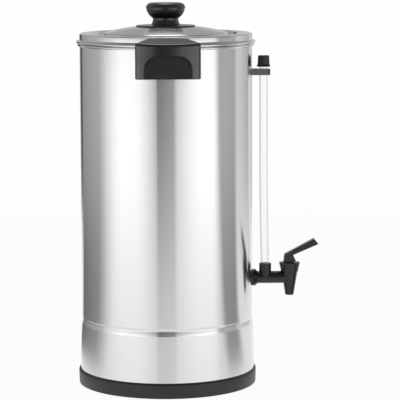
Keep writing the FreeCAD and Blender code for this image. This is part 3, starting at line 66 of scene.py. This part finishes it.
# Tank wall.
# Brushed stainless sheet, rolled into a tube and welded, its brush lines running round the tank.
# The top edge is rolled over a wire, a groove marks where the floor is seamed in, and the skirt flares.
def linear(hex_code):
    """An sRGB hex colour as linear values with alpha 1."""
    values = [int(hex_code[i : i + 2], 16) / 255 for i in (0, 2, 4)]
    return [v / 12.92 if v <= 0.04045 else ((v + 0.055) / 1.055) ** 2.4 for v in values] + [1.0]


def add_node(material, kind, inputs=None, **settings):
    """One node with its settings, its values and its links."""
    node = material.node_tree.nodes.new(kind)
    for name, value in settings.items():
        setattr(node, name, value)
    for socket, value in (inputs or {}).items():
        if isinstance(value, bpy.types.NodeSocket):
            material.node_tree.links.new(value, node.inputs[socket])
        else:
            node.inputs[socket].default_value = value
    return node


def start_material(name):
    """An empty material and the output of its object coordinates."""
    material = bpy.data.materials.new(name)
    material.use_nodes = True
    material.node_tree.nodes.clear()
    place = add_node(material, "ShaderNodeTexCoord").outputs["Object"]
    return material, place


def end_material(material, surface):
    """Joins the shader to the material's output."""
    add_node(material, "ShaderNodeOutputMaterial", {"Surface": surface.outputs[0]})
    return material


def brushed_steel(name, hex_code, roughness, line_mm, spread):
    """Stainless steel brushed in rings round the urn's axis: sharp round the ring, smeared across it."""
    streaks, swing, lift = 18.0, 0.02, 1.06
    material, place = start_material(name)
    axes = add_node(material, "ShaderNodeSeparateXYZ", {0: place})
    level = add_node(
        material, "ShaderNodeVectorMath", {0: place, 1: (1, 1, 0)}, operation="MULTIPLY"
    )
    radius = add_node(material, "ShaderNodeVectorMath", {0: level.outputs[0]}, operation="LENGTH")
    ring = add_node(
        material,
        "ShaderNodeMath",
        {0: radius.outputs["Value"], 1: axes.outputs["Z"]},
        operation="ADD",
    )
    fine = add_node(
        material, "ShaderNodeMath", {0: ring.outputs[0], 1: 1000 / line_mm}, operation="MULTIPLY"
    )
    long_x = add_node(
        material, "ShaderNodeMath", {0: axes.outputs["X"], 1: streaks}, operation="MULTIPLY"
    )
    long_y = add_node(
        material, "ShaderNodeMath", {0: axes.outputs["Y"], 1: streaks}, operation="MULTIPLY"
    )
    lines = add_node(
        material,
        "ShaderNodeCombineXYZ",
        {0: long_x.outputs[0], 1: long_y.outputs[0], 2: fine.outputs[0]},
    )
    grain = add_node(
        material,
        "ShaderNodeTexNoise",
        {"Vector": lines.outputs[0], "Scale": 1.0, "Detail": 3.0, "Roughness": 0.65},
    )
    rough = add_node(
        material,
        "ShaderNodeMapRange",
        {
            "Value": grain.outputs[0],
            "From Min": 0.25,
            "From Max": 0.75,
            "To Min": roughness - swing,
            "To Max": roughness + swing,
        },
    )
    deep = linear(hex_code)
    pale = [min(1.0, c * lift) for c in deep[:3]] + [1.0]
    tint = add_node(
        material, "ShaderNodeMix", {0: grain.outputs[0], 6: deep, 7: pale}, data_type="RGBA"
    )
    scratch = add_node(
        material, "ShaderNodeBump", {"Strength": 0.05, "Distance": 0.0002, "Height": grain.outputs[0]}
    )
    tangent = add_node(material, "ShaderNodeTangent", direction_type="RADIAL", axis="Z")
    steel = add_node(
        material,
        "ShaderNodeBsdfPrincipled",
        {
            "Base Color": tint.outputs[2],
            "Metallic": 1.0,
            "Roughness": rough.outputs[0],
            "Anisotropic": spread,
            "Anisotropic Rotation": 0.25,
            "Tangent": tangent.outputs[0],
            "Normal": scratch.outputs[0],
        },
    )
    return end_material(material, steel)


def arc(centre_r, centre_z, radius, first, last, steps):
    """Points of an outline along an arc, with angles in degrees from the outward direction."""
    angles = [math.radians(first + (last - first) * i / steps) for i in range(steps + 1)]
    return [(centre_r + radius * math.cos(a), centre_z + radius * math.sin(a)) for a in angles]


def turned(name, outline, sides=224):
    """A piece drawn up ring by ring from a circle, as on a lathe."""
    bpy.ops.object.select_all(action="DESELECT")
    radius, height = outline[0]
    bpy.ops.mesh.primitive_circle_add(
        vertices=sides, radius=radius * MM, location=(0, 0, height * MM)
    )
    piece = bpy.context.object
    piece.name = name
    bpy.ops.object.transform_apply(location=True, rotation=False, scale=False)
    bpy.ops.object.mode_set(mode="EDIT")
    bpy.ops.mesh.select_all(action="SELECT")
    for next_radius, next_height in outline[1:]:
        rise = (0, 0, (next_height - height) * MM)
        bpy.ops.mesh.extrude_region_move(TRANSFORM_OT_translate={"value": rise})
        if next_radius == 0:
            bpy.ops.mesh.merge(type="CENTER")
            break
        if abs(next_radius - radius) > 1e-9:
            size = next_radius / radius
            bpy.ops.transform.resize(
                value=(size, size, 1), center_override=(0, 0, next_height * MM)
            )
        radius, height = next_radius, next_height
    bpy.ops.mesh.select_all(action="SELECT")
    bpy.ops.mesh.remove_doubles(threshold=1e-6)
    bpy.ops.mesh.normals_make_consistent(inside=False)
    bpy.ops.object.mode_set(mode="OBJECT")
    return piece


def smooth(piece):
    """Shades a piece smooth, with its sharp edges kept."""
    bpy.ops.object.select_all(action="DESELECT")
    piece.select_set(True)
    bpy.context.view_layer.objects.active = piece
    bpy.ops.object.shade_smooth_by_angle(angle=math.radians(35))


def give(piece, material, body, slot, *replaced):
    """Material and body of a finished piece, and the nodes it stands for; the slot is not used."""
    piece.data.materials.clear()
    piece.data.materials.append(material)
    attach(piece, body)
    if replaced:
        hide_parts(*replaced)


# It gives the eye upright bands of light that stay sharp at their sides and smear up and down. The real
# brush lines are 0.1 to 0.3 mm apart, too fine to show, so they are drawn 1.6 mm apart.
tank_steel = brushed_steel("brushed_stainless_tank", "dcdcdc", 0.19, 1.6, 1.0)
bead_r, bead_z, bead_size = 128.3, 504.2, 2.1
body_r, inner_r, seam_low, seam_high, bead_foot = 127.0, 126.2, 95.0, 102.0, 502.0
skirt_r, skirt_foot, skirt_top = 129.1, 12.0, 91.0
tank_shell = turned(
    "tank_shell",
    [
        (skirt_r, skirt_foot),
        (129.9, skirt_foot),
        (128.26, 88.0),
        (128.22, 90.0),
        (128.2, skirt_top),
        (127.1, 94.4),
        (body_r, seam_low),
    ]
    + [(126.75, 95.9), (126.4, 97.0), (126.3, 98.0), (126.4, 99.0), (126.75, 100.1)]
    + [(body_r, 101.0), (body_r, seam_high), (body_r, 300.0), (body_r, bead_foot)]
    + arc(bead_r, bead_z, bead_size, -128, 180, 22)
    + [(inner_r, 500.0), (inner_r, seam_high), (125.5, 98.0), (inner_r, seam_low), (127.4, skirt_top)]
    + [(skirt_r, skirt_foot)],
)
smooth(tank_shell)
give(tank_shell, tank_steel, "urn", "brushed_shell", "tank_wall")

# Lid.
# Pressed from one stainless sheet: a shallow dome, a moat round it, a flat ring, a short skirt and a
# hemmed flange, with a lip that drops inside the tank. Brushed in rings on the lathe after pressing.
# It gives the eye light that sweeps round the dome. Its lines are drawn 1.4 mm apart, like the tank's.
lid_steel = brushed_steel("brushed_stainless_lid", "dedede", 0.18, 1.4, 0.95)
dome_steps = 14
dome_edge, dome_mid, dome_low = (44.0, 530.3), (67.2, 527.1), (90.4, 521.3)
bore_r, crown_z, crown_under = 3.0, 530.3, 529.5


def through(start, middle, end, steps):
    """Points along the arc through three points of an outline."""
    ax, ay, bx, by, cx, cy = *start, *middle, *end
    d = 2 * (ax * (by - cy) + bx * (cy - ay) + cx * (ay - by))
    a2, b2, c2 = ax * ax + ay * ay, bx * bx + by * by, cx * cx + cy * cy
    ux = (a2 * (by - cy) + b2 * (cy - ay) + c2 * (ay - by)) / d
    uy = (a2 * (cx - bx) + b2 * (ax - cx) + c2 * (bx - ax)) / d
    size = math.hypot(ax - ux, ay - uy)
    first = math.degrees(math.atan2(ay - uy, ax - ux))
    last = math.degrees(math.atan2(cy - uy, cx - ux))
    last -= 360 * round((last - first) / 360)
    return arc(ux, uy, size, first, last, steps)


lid_outline = (
    [(bore_r, crown_z), dome_edge]
    + through(dome_edge, dome_mid, dome_low, dome_steps)[1:]
    + [(90.9, 520.9), (91.2, 520.3), (91.5, 513.6), (91.9, 512.9), (92.6, 512.6)]
    + [(105.4, 512.6), (106.0, 512.8), (106.3, 513.4), (107.2, 519.8), (107.5, 520.4), (108.1, 520.7)]
    + [(116.0, 520.7)]
    + arc(125.8, 519.1, 1.6, 90, 0, 6)
    + [(127.4, 513.0), (127.45, 511.9), (127.9, 511.3), (128.6, 511.0)]
)
lid_shell = turned(
    "lid_shell",
    lid_outline
    + [(130.2, 510.3)]
    + arc(130.25, 508.45, 1.85, 88, -90, 12)
    + [(125.0, 506.6), (125.0, 499.1), (124.2, 499.1), (124.2, 507.4), (129.6, 507.4), (130.4, 508.2)]
    + [(129.8, 509.4), (128.4, 510.2), (126.7, 511.0), (126.6, 518.9), (125.6, 519.9), (108.3, 519.9)]
    + [(107.0, 512.4), (105.6, 511.8), (92.2, 511.8), (90.8, 512.9), (90.3, 520.2), (89.9, 520.5)]
    + [(67.0, 526.3), (44.0, crown_under), (bore_r, crown_under), (bore_r, crown_z)],
)
smooth(lid_shell)
give(lid_shell, lid_steel, "lid", "brushed_lid", "lid")


# Knob collar.
# A thin phenolic disc that keeps the knob off the hot lid, moulded black with a rounded rim.
def moulded(name, hex_code, roughness, grain_mm, depth, specular=0.5):
    """A moulded plastic: a fine spark-eroded grain, and gloss that varies a little over the part."""
    patches, duller, glossier, lift = 38.0, 0.05, 0.04, 1.25
    material, place = start_material(name)
    grain = add_node(
        material,
        "ShaderNodeTexNoise",
        {"Vector": place, "Scale": 1000 / grain_mm, "Detail": 2.0, "Roughness": 0.5},
    )
    wear = add_node(
        material,
        "ShaderNodeTexNoise",
        {"Vector": place, "Scale": patches, "Detail": 4.0, "Roughness": 0.55},
    )
    rough = add_node(
        material,
        "ShaderNodeMapRange",
        {
            "Value": wear.outputs[0],
            "From Min": 0.3,
            "From Max": 0.7,
            "To Min": roughness - glossier,
            "To Max": roughness + duller,
        },
    )
    deep = linear(hex_code)
    pale = [c * lift + 0.002 for c in deep[:3]] + [1.0]
    tint = add_node(
        material, "ShaderNodeMix", {0: wear.outputs[0], 6: deep, 7: pale}, data_type="RGBA"
    )
    skin = add_node(
        material, "ShaderNodeBump", {"Strength": depth, "Distance": 0.0002, "Height": grain.outputs[0]}
    )
    plastic = add_node(
        material,
        "ShaderNodeBsdfPrincipled",
        {
            "Base Color": tint.outputs[2],
            "Roughness": rough.outputs[0],
            "Specular IOR Level": specular,
            "IOR": 1.5,
            "Normal": skin.outputs[0],
        },
    )
    return end_material(material, plastic)


# It gives the eye a deep black with soft, clear highlights. Its grain is drawn 0.9 mm across, because
# the real one is too fine to show.
black_phenolic = moulded("black_phenolic", "161616", 0.22, 0.9, 0.05, 0.9)
screw_r, collar_r, collar_round, collar_top = 2.5, 42.9, 0.9, 533.3
collar_disc = turned(
    "collar_disc",
    [(screw_r, crown_z), (collar_r, crown_z)]
    + arc(collar_r, crown_z + collar_round, collar_round, -60, 90, 6)
    + [(24.0, collar_top), (screw_r, collar_top), (screw_r, crown_z)],
)
smooth(collar_disc)
give(collar_disc, black_phenolic, "lid", "black_plastic", "knob_collar")

# Lid knob.
# Compression-moulded phenolic: a domed top with a band at its widest, a bowl, and a narrow neck.
knob_body = turned(
    "knob_body",
    [(screw_r, collar_top), (20.2, collar_top), (20.6, 533.7), (20.6, 534.6)]
    + through((20.6, 534.7), (19.3, 537.2), (18.9, 538.6), 6)[1:]
    + [(18.9, 541.6)]
    + through((18.9, 542.6), (25.9, 549.3), (28.5, 557.3), 14)
    + [(29.0, 557.7), (29.1, 558.2), (29.1, 558.8)]
    + through((29.1, 558.8), (26.6, 563.0), (19.0, 565.1), 12)[1:]
    + [(14.0, 565.5), (9.0, 565.75), (4.0, 565.88), (0, 565.9)],
    160,
)
smooth(knob_body)
give(knob_body, black_phenolic, "lid", "black_plastic", "lid_knob")

# Base ring.
# Black polypropylene moulding pushed up over the tank's skirt, with a small radius at its foot.
# It gives the eye a duller and greyer black than the phenolic pieces.
black_polypropylene = moulded("black_polypropylene", "242424", 0.42, 1.2, 0.15)
foot_in, foot_out, ledge_in, ledge_low, ledge_high = 121.0, 130.8, 112.0, 5.0, 8.0
base_hoop = turned(
    "base_hoop",
    [(foot_in, 0.0), (foot_out, 0.0)]
    + through((foot_out, 0.0), (131.71, 0.39), (132.1, 1.3), 5)[1:]
    + [(132.6, 18.5)]
    + through((132.6, 18.5), (131.6, 21.0), (130.0, 22.4), 7)[1:]
    + [(130.0, 12.0), (128.7, 12.0), (128.7, 20.0), (124.8, 20.0), (124.8, ledge_high)]
    + [(ledge_in, ledge_high), (ledge_in, ledge_low), (foot_in, ledge_low), (foot_in, 0.0)],
)
smooth(base_hoop)
give(base_hoop, black_polypropylene, "urn", "black_plastic", "base_ring")


# Pieces whose solids have the right shape.
# They keep the shape of their solids and get the finish of the real material.
def grained(name, hex_code, metallic, roughness, grain_mm, depth):
    """A plain metal or rubber surface with a mill or moulding grain."""
    duller, glossier, lift = 0.08, 0.06, 1.12
    material, place = start_material(name)
    grain = add_node(
        material,
        "ShaderNodeTexNoise",
        {"Vector": place, "Scale": 1000 / grain_mm, "Detail": 4.0, "Roughness": 0.6},
    )
    rough = add_node(
        material,
        "ShaderNodeMapRange",
        {
            "Value": grain.outputs[0],
            "From Min": 0.3,
            "From Max": 0.7,
            "To Min": roughness - glossier,
            "To Max": roughness + duller,
        },
    )
    deep = linear(hex_code)
    pale = [min(1.0, c * lift) for c in deep[:3]] + [1.0]
    tint = add_node(
        material, "ShaderNodeMix", {0: grain.outputs[0], 6: deep, 7: pale}, data_type="RGBA"
    )
    skin = add_node(
        material,
        "ShaderNodeBump",
        {"Strength": depth, "Distance": 0.0002, "Height": grain.outputs[0]},
    )
    surface = add_node(
        material,
        "ShaderNodeBsdfPrincipled",
        {
            "Base Color": tint.outputs[2],
            "Metallic": metallic,
            "Roughness": rough.outputs[0],
            "Normal": skin.outputs[0],
        },
    )
    return end_material(material, surface)


def clear_plastic(name, hex_code, roughness, ior, edge_shade_tone):
    """A clear moulding or tube, with painted shade that greys its colour towards edges seen side on."""
    face_on, edge_on, haze_swing = 0.35, 0.9, 0.01
    material, place = start_material(name)
    # Painted shade: a facing mask greys the colour towards the edges seen side on; depth is that shade's
    # share.
    edge_shade_mask = add_node(material, "ShaderNodeLayerWeight", {"Blend": 0.5}).outputs["Facing"]
    depth = add_node(
        material, "ShaderNodeMapRange", {"Value": edge_shade_mask, "From Min": face_on, "From Max": edge_on}
    )
    clear = linear(hex_code)
    shaded_edge_colour = [c * edge_shade_tone for c in clear[:3]] + [1.0]
    tint = add_node(
        material, "ShaderNodeMix", {0: depth.outputs[0], 6: clear, 7: shaded_edge_colour}, data_type="RGBA"
    )
    haze = add_node(material, "ShaderNodeTexNoise", {"Vector": place, "Scale": 60.0, "Detail": 3.0})
    rough = add_node(
        material,
        "ShaderNodeMapRange",
        {"Value": haze.outputs[0], "To Min": roughness, "To Max": roughness + haze_swing},
    )
    surface = add_node(
        material,
        "ShaderNodeBsdfPrincipled",
        {
            "Base Color": tint.outputs[2],
            "Roughness": rough.outputs[0],
            "IOR": ior,
            "Transmission Weight": 1.0,
        },
    )
    return end_material(material, surface)


# What each gives the eye: its colour, how metallic and how rough it looks, how wide its grain is in mm
# and how deep. The grains are drawn about 1 mm wide, because the real ones are too fine to show.
finishes = {
    "steel": grained("mill_finish_steel", "b4b4b6", 1.0, 0.36, 2.0, 0.1),
    "strap_steel": grained("grey_satin_steel", "747474", 0.3, 0.45, 1.2, 0.1),
    "black_plastic": black_phenolic,
    "glossy_black": moulded("black_glossy_acetal", "141414", 0.17, 0.9, 0.05, 0.5),
    "bakelite": moulded("brown_bakelite", "3a2318", 0.3, 0.8, 0.1),
    "pale_plastic": moulded("natural_steatite", "d8d4c8", 0.5, 0.8, 0.2),
    "nylon": moulded("natural_nylon", "d2d0c4", 0.45, 0.8, 0.15),
    "heater_sheath": grained("dull_heater_sheath", "6f6c69", 0.8, 0.55, 1.5, 0.3),
    "fuse_case": grained("plated_fuse_case", "b8a070", 1.0, 0.3, 1.5, 0.05),
    "brass": grained("bright_brass", "c8a35a", 1.0, 0.25, 1.5, 0.05),
    # The last number of a clear plastic is the tone of its painted edge shade.
    "lamp_lens": clear_plastic("amber_polycarbonate", "d9772a", 0.15, 1.58, 0.8),
    "lead_sleeve": grained("braided_glass_sleeve", "d6d4ce", 0.0, 0.8, 1.0, 0.6),
    "soft_seal": grained("silicone_rubber", "a9a9a4", 0.0, 0.6, 1.0, 0.1),
    "black_rubber": grained("black_sealing_rubber", "1c1c1c", 0.0, 0.5, 1.0, 0.1),
    "clear_tube": clear_plastic("clear_polycarbonate_tube", "fcfcfc", 0.0, 1.49, 0.25),
    "aluminium": grained("spun_aluminium", "c6c7c9", 1.0, 0.38, 1.8, 0.1),
    "brushed_shell": tank_steel,
    "brushed_lid": lid_steel,
}
# The tap, the gauge's cap and its clip are a glossier and darker plastic than the handles and the knob.
glossy = ("tap_body", "bonnet", "tap_lever", "gauge_cap", "tube_clip")
for part in frame["record"]["subparts"]:
    node = frame["nodes"][part["node"]]
    node.data.materials.clear()
    finish = "glossy_black" if part["node"] in glossy else part["material_slot"]
    node.data.materials.append(finishes[finish])

# Floor and studio.
# A white table inside a round white tent: bright panels to the left and right of a dark gap where the
# camera stands, greyer sides with two narrow seams behind, a grey roof and a round light overhead.
tent_r, table_size, tent_foot = 1.9, 60.0, -0.01
plain_share = 0.95
near_low, near_high = 0.25, 0.40
bpy.ops.object.select_all(action="DESELECT")
bpy.ops.mesh.primitive_plane_add(size=table_size, location=(0, 0, 0))
table_top = bpy.context.object
table_top.name = "table_top"
table_paint, table_place = start_material("white_table")
matte = add_node(table_paint, "ShaderNodeBsdfDiffuse", {"Color": linear("f4f4f4")})
bright = add_node(table_paint, "ShaderNodeEmission", {"Color": (1, 1, 1, 1), "Strength": 1.0})
rays = add_node(table_paint, "ShaderNodeLightPath")
seen = rays.outputs["Is Camera Ray"]
for kind in ("Is Glossy Ray", "Is Transmission Ray"):
    seen = add_node(
        table_paint, "ShaderNodeMath", {0: seen, 1: rays.outputs[kind]}, operation="MAXIMUM"
    ).outputs[0]
share = add_node(table_paint, "ShaderNodeMath", {0: seen, 1: plain_share}, operation="MULTIPLY")


def bearings(material, place, stops):
    """Tones that change with the direction round the urn, from stops in degrees from the camera."""
    spot = add_node(material, "ShaderNodeSeparateXYZ", {0: place})
    front = add_node(
        material, "ShaderNodeMath", {0: spot.outputs["Y"], 1: -1.0}, operation="MULTIPLY"
    )
    bearing = add_node(
        material, "ShaderNodeMath", {0: spot.outputs["X"], 1: front.outputs[0]}, operation="ARCTAN2"
    )
    turn = add_node(
        material, "ShaderNodeMapRange", {0: bearing.outputs[0], 1: -math.pi, 2: math.pi}
    )
    tones = add_node(material, "ShaderNodeValToRGB", {0: turn.outputs[0]})
    ramp = tones.color_ramp
    while len(ramp.elements) < len(stops):
        ramp.elements.new(0.5)
    for stop, (degrees, _) in zip(ramp.elements, stops):
        stop.position = (degrees + 180) / 360
    for stop, (_, tone) in zip(sorted(ramp.elements, key=lambda e: e.position), stops):
        stop.color = (tone, tone, tone, 1)
    return spot, front, tones.outputs[0]


cards = [
    (-180, 1), (-152, 1), (-148, 0.15), (-100, 0.25), (-72, 1), (70, 1), (76, 0.25), (99, 0.25),
    (104, 1), (180, 1),
]
_, _, card_tone = bearings(table_paint, table_place, cards)
away = add_node(table_paint, "ShaderNodeVectorMath", {0: table_place}, operation="LENGTH")
near = add_node(
    table_paint,
    "ShaderNodeMapRange",
    {0: away.outputs["Value"], 1: near_low, 2: near_high, 3: 1.0, 4: 0.0},
)
shown = add_node(
    table_paint,
    "ShaderNodeMath",
    {0: near.outputs[0], 1: rays.outputs["Is Camera Ray"]},
    operation="MAXIMUM",
)
table_tone = add_node(
    table_paint, "ShaderNodeMath", {0: shown.outputs[0], 1: card_tone}, operation="MAXIMUM"
)
table_paint.node_tree.links.new(table_tone.outputs[0], bright.inputs["Strength"])
blend = add_node(
    table_paint, "ShaderNodeMixShader", {0: share.outputs[0], 1: matte.outputs[0], 2: bright.outputs[0]}
)
end_material(table_paint, blend)
table_top.data.materials.append(table_paint)

bpy.ops.object.select_all(action="DESELECT")
bpy.ops.mesh.primitive_uv_sphere_add(segments=96, ring_count=48, radius=tent_r, location=(0, 0, 0))
tent = bpy.context.object
tent.name = "studio_tent"
bpy.ops.object.mode_set(mode="EDIT")
bpy.ops.mesh.select_all(action="SELECT")
bpy.ops.mesh.bisect(plane_co=(0, 0, tent_foot), plane_no=(0, 0, 1), clear_inner=True)
bpy.ops.object.mode_set(mode="OBJECT")
cloth, tent_place = start_material("studio_tent")
scale, front_gain, back_gain = 1.6, 2.25, 1.6
side_back, side_front = -0.4, 0.2
front_low, front_high, front_roof = 0.50, 0.64, 0.22
back_low, back_high, back_roof = 0.80, 1.00, 0.42
lamp_core, lamp_rim, lamp_tone = 0.24, 0.34, 4.0
levels = [
    (-180, 0.58), (-160, 0.50), (-158, 0.06), (-149, 0.06), (-147, 0.32), (-120, 0.48),
    (-96, 0.58), (-62, 1.32), (-44, 1.32), (-36, 1.26), (-26, 0.98), (-13.5, 0.48), (-12.5, 0.03),
    (9.5, 0.24), (10.5, 0.66), (21, 0.96), (29, 1.16), (40, 1.33), (54, 1.36), (62, 1.32),
    (66, 1.05), (71, 0.46), (76, 0.46), (100, 0.47), (104, 0.76), (112, 0.74), (124, 0.61),
    (136, 0.52), (145, 0.62), (150, 0.84), (156, 0.56), (180, 0.58),
]
spot, front, panels = bearings(
    cloth, tent_place, [(degrees, level / scale) for degrees, level in levels]
)


def fade(first, last):
    """A share that rises smoothly from 0 to 1 between two heights of the tent."""
    return add_node(
        cloth,
        "ShaderNodeMapRange",
        {0: spot.outputs["Z"], 1: first, 2: last},
        interpolation_type="SMOOTHSTEP",
    ).outputs[0]


front_share = add_node(
    cloth, "ShaderNodeMapRange", {0: front.outputs[0], 1: side_back, 2: side_front}
)
panel_tone = add_node(cloth, "ShaderNodeMath", {0: panels, 1: front_gain}, operation="MULTIPLY")
back_tone = add_node(cloth, "ShaderNodeMath", {0: panels, 1: back_gain}, operation="MULTIPLY")
low_tone = add_node(
    cloth,
    "ShaderNodeMix",
    {0: front_share.outputs[0], 2: back_tone.outputs[0], 3: panel_tone.outputs[0]},
)
front_tone = add_node(
    cloth, "ShaderNodeMix", {0: fade(front_low, front_high), 2: low_tone.outputs[0], 3: front_roof}
)
rear_tone = add_node(
    cloth, "ShaderNodeMix", {0: fade(back_low, back_high), 2: low_tone.outputs[0], 3: back_roof}
)
wall_tone = add_node(
    cloth,
    "ShaderNodeMix",
    {0: front_share.outputs[0], 2: rear_tone.outputs[0], 3: front_tone.outputs[0]},
)
toward = Vector((0.0, 0.34, 0.94)).normalized() * tent_r
lamp_way = add_node(cloth, "ShaderNodeVectorMath", {0: tent_place, 1: toward}, operation="DISTANCE")
lamp_share = add_node(
    cloth,
    "ShaderNodeMapRange",
    {0: lamp_way.outputs["Value"], 1: lamp_core, 2: lamp_rim, 3: 1.0, 4: 0.0},
)
strength = add_node(
    cloth, "ShaderNodeMix", {0: lamp_share.outputs[0], 2: wall_tone.outputs[0], 3: lamp_tone}
)
glow = add_node(
    cloth, "ShaderNodeEmission", {"Color": (1, 1, 1, 1), "Strength": strength.outputs[0]}
)
end_material(cloth, glow)
tent.data.materials.append(cloth)
tent.visible_camera = False
tent.visible_transmission = False

world = bpy.data.worlds.new("white_room")
scene.world = world
world.use_nodes = True
world.node_tree.nodes["Background"].inputs[0].default_value = (1, 1, 1, 1)
world.node_tree.nodes["Background"].inputs[1].default_value = 1.0
scene.view_settings.view_transform = "Standard"
